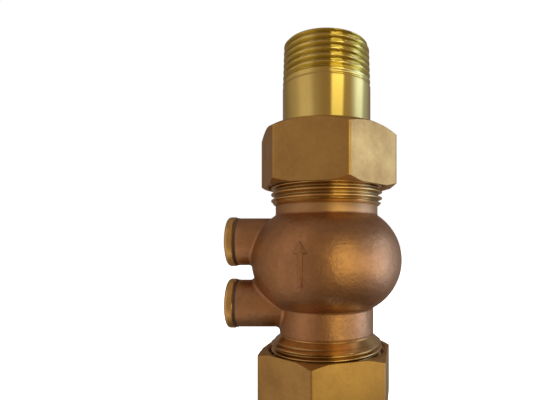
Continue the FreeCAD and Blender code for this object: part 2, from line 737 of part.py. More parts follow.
def make_return_spring():
    """The closing spring round the stem's shoulder, from the disc's land to the guide's hub."""
    seat = "(Sizes.spring_wire / 2 + Sizes.spring_seat)"
    low = f"({CLAPPER_TOP} + {seat})"
    high = f"({HUB_UNDERSIDE} - {seat})"
    helix = doc.addObject("Part::Helix", "spring_helix")
    helix.setExpression("Radius", "Sizes.spring_mean / 2")
    helix.setExpression("Height", f"{high} - {low}")
    helix.setExpression("Pitch", f"({high} - {low}) / Sizes.spring_turns")
    wire = doc.addObject("Part::Circle", "spring_wire")
    wire.setExpression("Radius", "Sizes.spring_wire / 2")
    wire.Placement = FreeCAD.Placement(FreeCAD.Vector(), FreeCAD.Rotation(ALONG_X, 90))
    wire.setExpression("Placement.Base.x", "Sizes.spring_mean / 2")
    spring = doc.addObject("Part::Sweep", "return_spring")
    spring.Label = "return_spring"
    spring.Sections = [wire]
    doc.recompute()
    spring.Spine = (helix, [])
    spring.Solid = True
    spring.Frenet = True
    spring.setExpression("Placement.Base.z", f"{BALL_HEIGHT} + {low}")
    doc.recompute()
    return spring


def faults(item):
    """What is wrong with an object of the document, as a list of words."""
    return [word for word in item.State if word in ("Invalid", "Error")]


UPPER_BOSS = f"{BALL_HEIGHT} + Sizes.upper_boss_rise"
LOWER_BOSS = f"{BALL_HEIGHT} - Sizes.lower_boss_drop"

pieces = [
    make_valve_body(),
    make_union_nut("upper_union_nut", OUTLET_FACE, UPRIGHT, "Sizes.upper_nut_turn"),
    make_union_nut("lower_union_nut", INLET_FACE, UPSIDE_DOWN, "-Sizes.lower_nut_turn"),
    make_tail("upper_tail", OUTLET_FACE, UPRIGHT),
    make_tail("lower_tail", INLET_FACE, UPSIDE_DOWN),
    make_gasket("upper_gasket", OUTLET_FACE, UPRIGHT),
    make_gasket("lower_gasket", INLET_FACE, UPSIDE_DOWN),
    make_plug_washer("upper_plug_washer", UPPER_BOSS),
    make_plug_washer("lower_plug_washer", LOWER_BOSS),
    make_test_plug("upper_test_plug", UPPER_BOSS),
    make_test_plug("lower_test_plug", LOWER_BOSS),
    make_clapper(),
    make_clapper_seal(),
    make_clamp_washer(),
    make_clapper_stem(),
    make_stem_nut(),
    make_stem_guide(),
    make_guide_bush(),
    make_guide_circlip(),
    make_return_spring(),
]

doc.recompute()
for item in doc.Objects:
    if faults(item):
        raise RuntimeError(f"{item.Name} is {faults(item)}")
for piece in pieces:
    if piece.Shape.isNull() or not piece.Shape.isValid() or not piece.Shape.Solids:
        raise RuntimeError(f"{piece.Label} has no valid solid")

os.makedirs("parts", exist_ok=True)
for piece in pieces:
    piece.Shape.exportStep(f"parts/{piece.Label}.step")
    box = piece.Shape.BoundBox
    print(
        f"{piece.Label:20s} {piece.Shape.Volume:9.1f} mm3 "
        f"x {box.XMin:6.1f} {box.XMax:6.1f}  z {box.ZMin:6.1f} {box.ZMax:6.1f}"
    )
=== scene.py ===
import math

import bmesh
import bpy
from mathutils import Matrix, Vector


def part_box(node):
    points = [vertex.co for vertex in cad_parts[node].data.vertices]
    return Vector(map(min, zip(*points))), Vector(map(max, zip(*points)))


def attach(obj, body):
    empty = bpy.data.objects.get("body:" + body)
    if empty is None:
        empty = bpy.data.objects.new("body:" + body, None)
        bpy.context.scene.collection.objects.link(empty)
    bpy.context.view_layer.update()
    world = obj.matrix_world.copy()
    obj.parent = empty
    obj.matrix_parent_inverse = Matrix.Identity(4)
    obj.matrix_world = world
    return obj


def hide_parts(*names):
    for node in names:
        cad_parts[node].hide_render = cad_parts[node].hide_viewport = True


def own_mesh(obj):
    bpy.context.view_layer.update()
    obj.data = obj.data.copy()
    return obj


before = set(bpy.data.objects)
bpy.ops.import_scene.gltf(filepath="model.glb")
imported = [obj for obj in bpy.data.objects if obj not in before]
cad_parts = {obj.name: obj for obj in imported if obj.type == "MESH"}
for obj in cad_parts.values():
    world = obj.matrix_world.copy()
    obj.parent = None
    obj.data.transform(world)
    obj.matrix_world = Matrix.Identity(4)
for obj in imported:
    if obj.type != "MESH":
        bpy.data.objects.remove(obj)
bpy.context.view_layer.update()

# Non-return valve with union ends, in metres, in the frame of its solids. The flow goes up along
# +Z, the axis is X = Y = 0, and the two side bosses point along -X.

MM = 0.001
FULL_TURN = 2 * math.pi
MERGE_DISTANCE = 0.001 * MM

# The camera, from the photograph's frame of 533 by 400 pixels
FRAME_WIDTH = 533
FRAME_HEIGHT = 400
AXIS_COLUMN = 326.6
HORIZON_ROW = 242.0
PIXEL_AT_AXIS = 0.381 * MM
CAMERA_DISTANCE = 157.4 * MM
CAMERA_HEIGHT = 93.3 * MM
SENSOR_WIDTH = 36.0

# Heights, read from the frame
BODY_LOW, BODY_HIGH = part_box("valve_body")
INLET_FACE = BODY_LOW.z
OUTLET_FACE = BODY_HIGH.z
BALL_HEIGHT = INLET_FACE + 44.6 * MM
BOSS_HEIGHTS = {"upper": BALL_HEIGHT + 6.8 * MM, "lower": BALL_HEIGHT - 16.5 * MM}
BOSS_END = BODY_LOW.x

# The casting
BALL_OFFSET = 8.2 * MM
BALL_RADIUS = 20.0 * MM
RING_RADIUS = 19.25 * MM
RING_EDGE = 0.3 * MM
RING_SLOPE = 0.2 * MM
RING_TOP = BALL_HEIGHT + 20.4 * MM
RING_FOOT = BALL_HEIGHT + 17.2 * MM
NECK_RADIUS = 17.7 * MM
NECK_BOTTOM = BALL_HEIGHT - 27.5 * MM
NECK_STEP = 0.35 * MM
NECK_CUT = NECK_BOTTOM + 1.0 * MM
NECK_LEVELS = 8
BOSS_RADIUS = 8.9 * MM
INLET_MOUTH = 14.6 * MM
OUTLET_MOUTH = 17.2 * MM
EDGE_ROUND = 0.3 * MM

# How near a place has to be to count as on a wall, and the width of the strip that joins a new
# wall to the rim it starts from
WALL_MARGIN = 0.05 * MM
JOINING_STRIP = 0.2 * MM

# The raised arrow on the front of the ball
ARROW_PLACE = -8.6 * MM
ARROW_FOOT = -8.0 * MM
ARROW_LENGTH = 15.0 * MM
ARROW_SHAFT = 0.7 * MM
ARROW_HEAD = 2.2 * MM
ARROW_HEAD_LENGTH = 4.0 * MM
ARROW_RELIEF = 0.55 * MM
ARROW_SUNK = 0.4 * MM
ARROW_ROUND = 0.25 * MM

# Threads: radius over the crests, height of one turn, and the depth of the cut as a share of it.
# The flats are shares of half a turn, and the starts and run-outs are counted in turns.
UNION_PITCH = 2.309 * MM
UNION_RADIUS = 20.955 * MM
PLUG_PITCH = 1.337 * MM
PLUG_RADIUS = 6.5785 * MM
THREAD_SHARE = 0.6403
THREAD_FLAT = 1 / 6
THREAD_ROUNDING = 0.4
THREAD_CHAMFER = 1.2 * MM
THREAD_START = 0.5
THREAD_RELIEF = 0.01 * MM
RING_RUN_OUT = 0.6
NECK_RUN_OUT = 0.3
TAIL_RUN_OUT = 2.2
PLUG_RUN_OUT = 1.0
ROWS_PER_TURN = 14
END_ROWS = ROWS_PER_TURN // 2
COLUMNS = 192
PLUG_COLUMNS = 96

# Union nuts
NUT_FLATS = 46.0 * MM
NUT_SHOULDER = 3.8 * MM
NUT_CROWN = 22.2 * MM
NUT_MOUTH = 24.0 * MM
NUT_BORE = UNION_RADIUS + 0.2 * MM
NUT_CORNER_ROUND = 0.7 * MM
NUT_TURNS = {"upper": 46.45, "lower": 19.0}
CHAMFER_SLOPE = math.tan(math.radians(30))
TOOL_SPARE = 1.0 * MM

# Tails
TAIL_RADIUS = 16.6 * MM
TAIL_END_RADIUS = 16.1 * MM
TAIL_BORE = 13.0 * MM
TAIL_COLLAR = 4.0 * MM
TAIL_THREAD = 16.8 * MM
TAIL_CHAMFER = 0.8 * MM
TAIL_CLEARANCE = 0.3 * MM
TAPER = 1 / 32

# Plugs
PLUG_COLLAR = 9.3 * MM
PLUG_EDGE = 1.2 * MM
PLUG_BACK_EDGE = 0.3 * MM
WASHER = 0.8 * MM
COLLAR_HEIGHT = 3.1 * MM
PLUG_THREAD = 7.4 * MM
SOCKET_FLATS = 7.0 * MM
SOCKET_DEPTH = 5.0 * MM
SOCKET_LEAD = 0.3 * MM
SOCKET_MARGIN = 0.1 * MM
EDGE_STEPS = 6

# Spring
SPRING_WIRE = 0.6 * MM
SPRING_RADIUS = 6.6 * MM
SPRING_TURNS = 6
SPRING_STEPS_PER_TURN = 40
WIRE_SIDES = 12
SPRING_LOW, SPRING_HIGH = (corner.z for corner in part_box("return_spring"))


# Shapes


def axis_distance(place):
    """How far a place lies from the axis."""
    return math.hypot(place.x, place.y)


def set_axis_distance(vert, radius):
    """Moves a corner straight out from the axis, or in, to a radius."""
    share = radius / axis_distance(vert.co)
    vert.co.x *= share
    vert.co.y *= share


def spun(bm, corners, closed=True, cuts=(), columns=COLUMNS):
    """Turns a line of (radius, height) corners once round the axis. cuts says into how many more
    pieces the edge after a corner is cut first, as {corner: cuts}."""
    points = [bm.verts.new((radius, 0, height)) for radius, height in corners]
    following = points[1:] + points[:1] if closed else points[1:]
    edges = [bm.edges.new(pair) for pair in zip(points, following)]
    line = points + edges
    for index, count in dict(cuts).items():
        split = bmesh.ops.subdivide_edges(bm, edges=[edges[index]], cuts=count)
        line += [item for item in split["geom"] if item not in line]
    line = [item for item in line if item.is_valid]
    bmesh.ops.spin(
        bm, geom=line, cent=(0, 0, 0), axis=(0, 0, 1), dvec=(0, 0, 0), angle=FULL_TURN,
        steps=columns, use_merge=True, use_duplicate=False,
    )
    bmesh.ops.remove_doubles(bm, verts=bm.verts, dist=MERGE_DISTANCE / 2)


def round_edges(bm, edges, width, segments):
    """Rounds edges."""
    bmesh.ops.bevel(
        bm, geom=edges, offset=width, offset_type="OFFSET", segments=segments, profile=0.5,
        affect="EDGES", clamp_overlap=True, material=-1,
    )


def soften(bm, width, least_angle, chosen, segments=2):
    """Rounds the chosen edges that turn by more than an angle, in degrees."""
    least = math.radians(least_angle)
    sharp = [
        edge for edge in bm.edges
        if len(edge.link_faces) == 2 and edge.calc_face_angle(0) > least and chosen(edge)
    ]
    round_edges(bm, sharp, width, segments)


def cut_level(bm, height):
    """Cuts all faces along a level plane and takes nothing away."""
    bmesh.ops.bisect_plane(
        bm, geom=bm.verts[:] + bm.edges[:] + bm.faces[:], dist=MERGE_DISTANCE,
        plane_co=(0, 0, height), plane_no=(0, 0, 1),
    )


def face_outwards(bm):
    """Turns every face outwards."""
    bmesh.ops.recalc_face_normals(bm, faces=bm.faces)


def groove_share(place):
    """Depth of a rounded 55 degree thread at a place counted in turns: 0 on a crest and 1 in a
    root."""
    wave = abs(2 * (place % 1.0) - 1)
    flank = min(max((wave - THREAD_FLAT) / (1 - 2 * THREAD_FLAT), 0.0), 1.0)
    rounded = flank * flank * (3 - 2 * flank)
    return (1 - THREAD_ROUNDING) * flank + THREAD_ROUNDING * rounded


def cut_thread(bm, pitch, crest, low, high, fades, outside=True, taper=0.0):
    """Cuts a right-hand thread into the round wall between two heights. crest is the radius over
    the crests at the lower height, and fades are the turns over which each end runs out. The
    attribute groove keeps how deep a place lies, and the turned metals paint shade in the roots
    of threads by it."""
    depth = THREAD_SHARE * pitch
    groove = bm.verts.layers.float.get("groove") or bm.verts.layers.float.new("groove")
    for vert in bm.verts:
        height = vert.co.z
        if not low <= height <= high:
            continue
        radius = axis_distance(vert.co)
        top = crest + taper * (height - low)
        if outside and radius < top - depth or not outside and radius > top + depth:
            continue
        turn = math.atan2(vert.co.y, vert.co.x) / FULL_TURN
        start_share = (height - low) / (fades[0] * pitch)
        end_share = (high - height) / (fades[1] * pitch)
        cut = depth * groove_share(height / pitch - turn) * min(1.0, start_share, end_share)
        set_axis_distance(vert, min(radius, top - cut) if outside else max(radius, top + cut))
        vert[groove] = cut / depth


def rows_between(low, high, pitch):
    """How many cuts give a wall ROWS_PER_TURN rows for each turn of its thread."""
    return int(ROWS_PER_TURN * abs(high - low) / pitch)


def mesh_from(name, bm):
    """A mesh with the shape of a bmesh, which is freed."""
    mesh = bpy.data.meshes.new(name)
    bm.to_mesh(mesh)
    bm.free()
    return mesh


def put_in_scene(name, data):
    """A new object in the scene."""
    made = bpy.data.objects.new(name, data)
    bpy.context.scene.collection.objects.link(made)
    return made


def smooth_below(mesh, angle):
    """Shades a mesh smoothly, apart from edges that turn by more than an angle in degrees."""
    mesh.shade_smooth()
    mesh.set_sharp_from_angle(angle=math.radians(angle))


def add_piece(name, bm, body, materials, smooth_angle=32):
    """Makes a bmesh a piece that rides on a body."""
    mesh = mesh_from(name, bm)
    smooth_below(mesh, smooth_angle)
    for material in materials:
        mesh.materials.append(material)
    piece = put_in_scene(name, mesh)
    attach(piece, body)
    return piece


def merged_copy(node):
    """A bmesh of a node's mesh whose doubles are merged."""
    bm = bmesh.new()
    bm.from_mesh(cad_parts[node].data)
    bmesh.ops.remove_doubles(bm, verts=bm.verts, dist=MERGE_DISTANCE)
    return bm


def replace_wall(bm, in_wall, corners, cuts):
    """Takes the faces of a wall out and puts a spun one in, joined to the rims that are left."""
    doomed = [face for face in bm.faces if in_wall(face.calc_center_median())]
    bmesh.ops.delete(bm, geom=doomed, context="FACES")
    old_rims = {edge for edge in bm.edges if edge.is_boundary}
    spun(bm, corners, closed=False, cuts=cuts)
    new_rims = {edge for edge in bm.edges if edge.is_boundary and edge not in old_rims}
    middle = (corners[0][1] + corners[-1][1]) / 2
    for side in (True, False):
        rims = [
            edge for edge in [*old_rims, *new_rims]
            if edge.is_valid and (edge.verts[0].co.z > middle) is side
        ]
        bmesh.ops.bridge_loops(bm, edges=rims)


def combine(piece, tool_shape, operation):
    """Cuts a piece with a tool, or keeps what both have in common."""
    mesh = mesh_from("tool", tool_shape)
    tool = put_in_scene("tool", mesh)
    modifier = piece.modifiers.new("cut", "BOOLEAN")
    modifier.operation = operation
    modifier.solver = "EXACT"
    modifier.object = tool
    evaluated = piece.evaluated_get(bpy.context.evaluated_depsgraph_get())
    result = bpy.data.meshes.new_from_object(evaluated)
    piece.modifiers.clear()
    piece.data = result
    smooth_below(result, 25)
    bpy.data.objects.remove(tool)
    bpy.data.meshes.remove(mesh)


def hexagon_bar(flats, low, high, turn, corner_round):
    """A hexagon bar between two heights, with rounded corners."""
    bm = bmesh.new()
    reach = flats / math.sqrt(3)
    bmesh.ops.create_cone(
        bm, cap_ends=True, segments=6, radius1=reach, radius2=reach, depth=high - low)
    if corner_round:
        upright = [
            edge for edge in bm.edges if abs(edge.verts[0].co.z - edge.verts[1].co.z) > MM
        ]
        round_edges(bm, upright, corner_round, 4)
    # The cone's first corner lies on +Y
    turned = Matrix.Rotation(math.radians(turn - 90), 4, "Z")
    moved = Matrix.Translation((0, 0, (low + high) / 2))
    bmesh.ops.transform(bm, matrix=moved @ turned, verts=bm.verts)
    return bm


# Materials


def node_group(name, inputs, outputs):
    """A shader node group with named sockets, and its two end nodes."""
    group = bpy.data.node_groups.new(name, "ShaderNodeTree")
    for socket, kind, default in inputs:
        made = group.interface.new_socket(
            socket, in_out="INPUT", socket_type=f"NodeSocket{kind}")
        if default is not None:
            made.default_value = default
    for socket, kind in outputs:
        group.interface.new_socket(socket, in_out="OUTPUT", socket_type=f"NodeSocket{kind}")
    return group, group.nodes.new("NodeGroupInput"), group.nodes.new("NodeGroupOutput")


def feed(tree, node, values):
    """Gives a node's inputs their values, or links other nodes' outputs to them."""
    for socket, value in values.items():
        if isinstance(value, bpy.types.NodeSocket):
            tree.links.new(value, node.inputs[socket])
        else:
            node.inputs[socket].default_value = value


def add_node(tree, kind, values=None, **settings):
    """A node with its settings and its inputs."""
    node = tree.nodes.new(f"ShaderNode{kind}")
    for setting, value in settings.items():
        setattr(node, setting, value)
    feed(tree, node, values or {})
    return node


def placed_with(tree, group, values):
    """The outputs of a node group that is placed in a material with its own values."""
    node = tree.nodes.new("ShaderNodeGroup")
    node.node_tree = group
    feed(tree, node, values)
    return node.outputs


def maths(tree, operation, first, second=0.0):
    """The output of a Math node."""
    return add_node(tree, "Math", {0: first, 1: second}, operation=operation).outputs[0]


def weighted_sum(tree, *parts):
    """The sum of values that each have a weight."""
    total, *rest = [maths(tree, "MULTIPLY", value, weight) for value, weight in parts]
    for part in rest:
        total = maths(tree, "ADD", total, part)
    return total


def vector_maths(tree, operation, first, second=(0, 0, 0), result="Vector"):
    """An output of a Vector Math node."""
    values = {0: first, 1: second}
    return add_node(tree, "VectorMath", values, operation=operation).outputs[result]


def noise(tree, vector, scale, detail=3.0, roughness=0.5):
    """The output of a noise over a vector."""
    values = {"Vector": vector, "Scale": scale, "Detail": detail, "Roughness": roughness}
    return add_node(tree, "TexNoise", values).outputs["Fac"]


def spread(tree, value, low, high, to_low=0.0, to_high=1.0):
    """A value's range, stretched to another range and held inside it."""
    values = {
        "Value": value, "From Min": low, "From Max": high, "To Min": to_low, "To Max": to_high,
    }
    return add_node(tree, "MapRange", values).outputs["Result"]


def mixed(tree, share, first, second):
    """Two colours, mixed by a share."""
    values = {"Factor": share, "A": first, "B": second}
    return add_node(tree, "Mix", values, data_type="RGBA").outputs["Result"]


def make_tarnish():
    """Uneven oxide: a bright and a dull colour in soft blotches with small specks. Size is how
    many blotches there are in a metre."""
    group, given, made = node_group(
        "tarnish",
        [("Vector", "Vector", None), ("Size", "Float", 100.0), ("Bright", "Color", None),
         ("Dull", "Color", None), ("Amount", "Float", 0.5)],
        [("Color", "Color"), ("Mask", "Float")],
    )
    specks_per_blotch = 9.0
    vector = given.outputs["Vector"]
    size = given.outputs["Size"]
    speck_size = maths(group, "MULTIPLY", size, specks_per_blotch)
    blotches = noise(group, vector, size, detail=4.0, roughness=0.6)
    specks = noise(group, vector, speck_size, detail=3.0, roughness=0.7)
    both = weighted_sum(group, (blotches, 0.75), (specks, 0.25))
    mask = maths(group, "MULTIPLY", spread(group, both, 0.35, 0.65), given.outputs["Amount"])
    shade = mixed(group, mask, given.outputs["Bright"], given.outputs["Dull"])
    group.links.new(shade, made.inputs["Color"])
    group.links.new(mask, made.inputs["Mask"])
    return group


def make_turned_marks():
    """Fine rings left by turning, on round walls and on end faces alike."""
    group, given, made = node_group(
        "turned_marks",
        [("Vector", "Vector", None), ("Centre", "Vector", None), ("Axis", "Vector", None),
         ("Spacing", "Float", 0.2 * MM)],
        [("Height", "Float")],
    )
    place = vector_maths(group, "SUBTRACT", given.outputs["Vector"], given.outputs["Centre"])
    along = vector_maths(group, "DOT_PRODUCT", place, given.outputs["Axis"], result="Value")
    around = vector_maths(group, "CROSS_PRODUCT", place, given.outputs["Axis"])
    radius = vector_maths(group, "LENGTH", around, result="Value")
    path = maths(group, "ADD", radius, along)
    rings = add_node(
        group, "TexNoise",
        {"W": maths(group, "DIVIDE", path, given.outputs["Spacing"]), "Scale": 1.0, "Detail": 2.0},
        noise_dimensions="1D",
    )
    group.links.new(rings.outputs["Fac"], made.inputs["Height"])
    return group


def make_drawn_lines():
    """The faint lines along a drawn bar, parallel to Z. Fineness is how many lie in a metre."""
    group, given, made = node_group(
        "drawn_lines",
        [("Vector", "Vector", None), ("Fineness", "Float", 2600.0)],
        [("Height", "Float")],
    )
    stretch = (1, 1, 0.04)
    squeezed = vector_maths(group, "MULTIPLY", given.outputs["Vector"], stretch)
    lines = noise(group, squeezed, given.outputs["Fineness"], detail=3.0, roughness=0.6)
    group.links.new(lines, made.inputs["Height"])
    return group


def make_cast_skin():
    """The skin of a sand casting after blasting: soft waves, grain and a few pits. All three are
    counted in a metre."""
    group, given, made = node_group(
        "cast_skin",
        [("Vector", "Vector", None), ("Grain", "Float", 1500.0)],
        [("Height", "Float"), ("Pits", "Float")],
    )
    waves_in_a_metre = 230.0
    pits_in_a_metre = 420.0
    vector = given.outputs["Vector"]
    waves = noise(group, vector, waves_in_a_metre, detail=3.0, roughness=0.55)
    grain = noise(group, vector, given.outputs["Grain"], detail=5.0, roughness=0.65)
    cells = add_node(
        group, "TexVoronoi", {"Vector": vector, "Scale": pits_in_a_metre, "Randomness": 1.0})
    pits = spread(group, cells.outputs["Distance"], 0.08, 0.2, to_low=1.0, to_high=0.0)
    height = weighted_sum(group, (waves, 1.6), (grain, 0.5), (pits, -0.25))
    group.links.new(height, made.inputs["Height"])
    group.links.new(pits, made.inputs["Pits"])
    return group


TARNISH = make_tarnish()
TURNED_MARKS = make_turned_marks()
DRAWN_LINES = make_drawn_lines()
CAST_SKIN = make_cast_skin()


def new_material(name, metallic):
    """A material with only its Principled shader, its tree and the object coordinates."""
    material = bpy.data.materials.new(name)
    material.use_nodes = True
    tree = material.node_tree
    shader = tree.nodes["Principled BSDF"]
    shader.inputs["Metallic"].default_value = metallic
    coordinates = add_node(tree, "TexCoord").outputs["Object"]
    return material, tree, shader, coordinates


def colour(red, green, blue):
    """A colour with full alpha."""
    return (red, green, blue, 1.0)


def dimmed(shade, share):
    """A share of a colour, with full alpha."""
    return colour(*(share * part for part in shade))


def link_colour(tree, shader, shade):
    """Links a colour to the shader."""
    tree.links.new(shade, shader.inputs["Base Color"])


def link_bump(tree, shader, height, strength, distance):
    """Links a height to the shader's normal through a Bump node."""
    values = {"Height": height, "Strength": strength, "Distance": distance}
    bump = add_node(tree, "Bump", values)
    tree.links.new(bump.outputs["Normal"], shader.inputs["Normal"])


def tarnished(tree, shader, where, size, amount, bright, dull, polish):
    """Links a tarnished metal's roughness to the shader, and gives its colour. polish has the
    roughness where it is bright and where it is dull."""
    oxide = placed_with(tree, TARNISH, {
        "Vector": where, "Size": size, "Amount": amount, "Bright": colour(*bright),
        "Dull": colour(*dull),
    })
    tree.links.new(spread(tree, oxide["Mask"], 0.0, 1.0, *polish), shader.inputs["Roughness"])
    return oxide["Color"]


def make_cast_bronze():
    """The blasted, slightly oxidised skin of the casting."""
    material, tree, shader, where = new_material("cast_bronze_skin", metallic=1.0)
    skin = placed_with(tree, CAST_SKIN, {"Vector": where, "Grain": 1100.0})
    oxide = tarnished(
        tree, shader, where, size=70.0, amount=1.0, bright=(0.55, 0.32, 0.175),
        dull=(0.38, 0.23, 0.135), polish=(0.34, 0.44),
    )
    in_pits = maths(tree, "MULTIPLY", skin["Pits"], 0.12)
    link_colour(tree, shader, mixed(tree, in_pits, oxide, colour(0.20, 0.11, 0.06)))
    link_bump(tree, shader, skin["Height"], strength=0.75, distance=0.22 * MM)
    return material


def make_turned_metal(name, bright, dull, polish, spacing, mark, centre=(0, 0, 0), axis=(0, 0, 1)):
    """Turned metal: rings from the tool, a light tarnish, and painted shade in the roots of its
    threads and in other places marked deep. mark is how strong the rings are."""
    material, tree, shader, where = new_material(name, metallic=1.0)
    values = {"Vector": where, "Centre": centre, "Axis": axis, "Spacing": spacing}
    marks = placed_with(tree, TURNED_MARKS, values)
    shade = tarnished(
        tree, shader, where, size=70.0, amount=0.8, bright=bright, dull=dull, polish=polish)
    # Painted shade: places that the groove attribute marks deep, such as thread roots and plug
    # sockets, are mixed towards a dark share of the dull colour
    groove = add_node(tree, "Attribute", attribute_name="groove").outputs["Fac"]
    share = spread(tree, groove, 0.2, 1.0, to_high=0.55)
    link_colour(tree, shader, mixed(tree, share, shade, dimmed(dull, 0.45)))
    link_bump(tree, shader, marks["Height"], mark, distance=0.02 * MM)
    return material


def make_nut_brass():
    """Hexagon bar that is drawn, with machined ends."""
    material, tree, shader, where = new_material("machined_nut_brass", metallic=1.0)
    lines = placed_with(tree, DRAWN_LINES, {"Vector": where, "Fineness": 2600.0})
    shade = tarnished(
        tree, shader, where, size=85.0, amount=1.0, bright=(0.62, 0.44, 0.17),
        dull=(0.47, 0.315, 0.13), polish=(0.32, 0.46),
    )
    link_colour(tree, shader, shade)
    link_bump(tree, shader, lines["Height"], strength=0.12, distance=0.02 * MM)
    return material


def make_moulded(name, light, dark, roughness, grain):
    """Moulded rubber, plastic or pressed fibre, with a faint grain."""
    material, tree, shader, where = new_material(name, metallic=0.0)
    shader.inputs["Specular IOR Level"].default_value = 0.25
    shade = tarnished(
        tree, shader, where, size=120.0, amount=1.0, bright=light, dull=dark, polish=roughness)
    link_colour(tree, shader, shade)
    link_bump(tree, shader, noise(tree, where, grain), strength=0.25, distance=0.03 * MM)
    return material


CAST_BRONZE = make_cast_bronze()
MACHINED_BRONZE = make_turned_metal(
    "machined_bronze", bright=(0.74, 0.54, 0.26), dull=(0.58, 0.42, 0.20), polish=(0.16, 0.25),
    spacing=0.25 * MM, mark=0.12,
)
RING_BRONZE = make_turned_metal(
    "ring_bronze", bright=(0.53, 0.35, 0.20), dull=(0.44, 0.29, 0.165), polish=(0.40, 0.48),
    spacing=0.25 * MM, mark=0.35,
)
NUT_BRASS = make_nut_brass()
TAIL_BRASS = make_turned_metal(
    "bright_turned_brass", bright=(0.83, 0.75, 0.29), dull=(0.75, 0.65, 0.24),
    polish=(0.09, 0.16), spacing=0.2 * MM, mark=0.12,
)
PLUG_BRASS = {
    side: make_turned_metal(
        f"{side}_plug_brass", bright=(0.80, 0.58, 0.24), dull=(0.66, 0.46, 0.18),
        polish=(0.20, 0.30), spacing=0.2 * MM, mark=0.3, centre=(0, 0, height), axis=(-1, 0, 0),
    )
    for side, height in BOSS_HEIGHTS.items()
}
INNER_BRASS = make_turned_metal(
    "inner_brass", bright=(0.72, 0.55, 0.27), dull=(0.60, 0.44, 0.20), polish=(0.18, 0.28),
    spacing=0.2 * MM, mark=0.2,
)
SPRING_STEEL = make_turned_metal(
    "spring_steel", bright=(0.60, 0.60, 0.60), dull=(0.48, 0.47, 0.45), polish=(0.22, 0.32),
    spacing=0.4 * MM, mark=0.1,
)
GASKET_RUBBER = make_moulded(
    "gasket_rubber", light=(0.035, 0.035, 0.035), dark=(0.02, 0.02, 0.02),
    roughness=(0.5, 0.65), grain=2500.0,
)
SEAL_RUBBER = make_moulded(
    "seal_rubber", light=(0.045, 0.045, 0.045), dark=(0.03, 0.03, 0.03),
    roughness=(0.45, 0.6), grain=2500.0,
)
# Painted shade, in part: the fibre washers are near black, so that each shows as the dark line of
# shade in the gap between its plug and its boss
WASHER_FIBRE = make_moulded(
    "washer_fibre", light=(0.05, 0.028, 0.016), dark=(0.03, 0.016, 0.010),
    roughness=(0.6, 0.8), grain=1800.0,
)
BUSH_PLASTIC = make_moulded(
    "bush_plastic", light=(0.82, 0.80, 0.72), dark=(0.74, 0.72, 0.64),
    roughness=(0.35, 0.45), grain=900.0,
)

NODE_MATERIALS = {
    "upper_gasket": GASKET_RUBBER,
    "lower_gasket": GASKET_RUBBER,
    "upper_plug_washer": WASHER_FIBRE,
    "lower_plug_washer": WASHER_FIBRE,
    "clapper": INNER_BRASS,
    "clapper_seal": SEAL_RUBBER,
    "seal_clamp_washer": INNER_BRASS,
    "clapper_stem": INNER_BRASS,
    "stem_nut": INNER_BRASS,
    "stem_guide": INNER_BRASS,
    "guide_bush": BUSH_PLASTIC,
    "guide_circlip": SPRING_STEEL,
}


def dress_nodes():
    """Gives the solids that stay as they are their own materials."""
    for node, material in NODE_MATERIALS.items():
        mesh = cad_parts[node].data
        mesh.materials.clear()
        mesh.materials.append(material)


# The casting

CASTING_MATERIALS = [CAST_BRONZE, MACHINED_BRONZE, RING_BRONZE]
THREAD_FOOT = UNION_RADIUS - THREAD_CHAMFER
NECK_CONE_FOOT = NECK_BOTTOM - (UNION_RADIUS - NECK_RADIUS)

# Corners of the two threaded walls from the bottom up, as radius and height
UPPER_WALL = [
    (RING_RADIUS, RING_FOOT + JOINING_STRIP),
    (RING_RADIUS, RING_TOP - RING_EDGE),
    (RING_RADIUS - RING_SLOPE, RING_TOP),
    (THREAD_FOOT, RING_TOP),
    (UNION_RADIUS, RING_TOP + THREAD_CHAMFER),
    (UNION_RADIUS, OUTLET_FACE - THREAD_CHAMFER),
    (THREAD_FOOT, OUTLET_FACE),
    (OUTLET_MOUTH + JOINING_STRIP, OUTLET_FACE),
]
LOWER_WALL = [
    (INLET_MOUTH + JOINING_STRIP, INLET_FACE),
    (THREAD_FOOT, INLET_FACE),
    (UNION_RADIUS, INLET_FACE + THREAD_CHAMFER),
    (UNION_RADIUS, NECK_CONE_FOOT),
    (NECK_RADIUS - NECK_STEP, NECK_BOTTOM - NECK_STEP),
    (NECK_RADIUS - NECK_STEP, NECK_BOTTOM),
    (NECK_RADIUS, NECK_BOTTOM + NECK_STEP),
]


def in_upper_wall(centre):
    """Whether a face's centre lies outside on the ring, the upper thread or the outlet's face."""
    outside = axis_distance(centre) > OUTLET_MOUTH + WALL_MARGIN
    return centre.z > RING_FOOT + WALL_MARGIN and outside


def in_lower_wall(centre):
    """Whether a face's centre lies outside on the lower thread or the inlet's face."""
    outside = axis_distance(centre) > INLET_MOUTH + WALL_MARGIN
    return centre.z < NECK_CUT and outside


def is_boss_rim(edge):
    """Whether an edge lies on the outer rim of a boss's end face."""
    for vert in edge.verts:
        off_rim = min(
            abs(math.hypot(vert.co.y, vert.co.z - height) - BOSS_RADIUS)
            for height in BOSS_HEIGHTS.values()
        )
        if abs(vert.co.x - BOSS_END) > 0.01 * MM or off_rim > 0.1 * MM:
            return False
    return True


def make_neck_round(bm):
    """Cuts the lower neck into levels and moves its skin out to the true radius."""
    for level in range(NECK_LEVELS):
        cut_level(bm, NECK_CUT + level * MM)
    for vert in bm.verts:
        on_neck = NECK_BOTTOM < vert.co.z < NECK_CUT + NECK_LEVELS * MM
        if on_neck and NECK_RADIUS - 2 * WALL_MARGIN < axis_distance(vert.co) < NECK_RADIUS:
            set_axis_distance(vert, NECK_RADIUS)


def casting_material(centre):
    """The material of a face of the casting: turned on the ring, the threads and the ends."""
    if RING_FOOT < centre.z < RING_TOP:
        return RING_BRONZE
    if centre.z > RING_TOP or centre.z < NECK_BOTTOM or centre.x < BOSS_END + WALL_MARGIN:
        return MACHINED_BRONZE
    return CAST_BRONZE


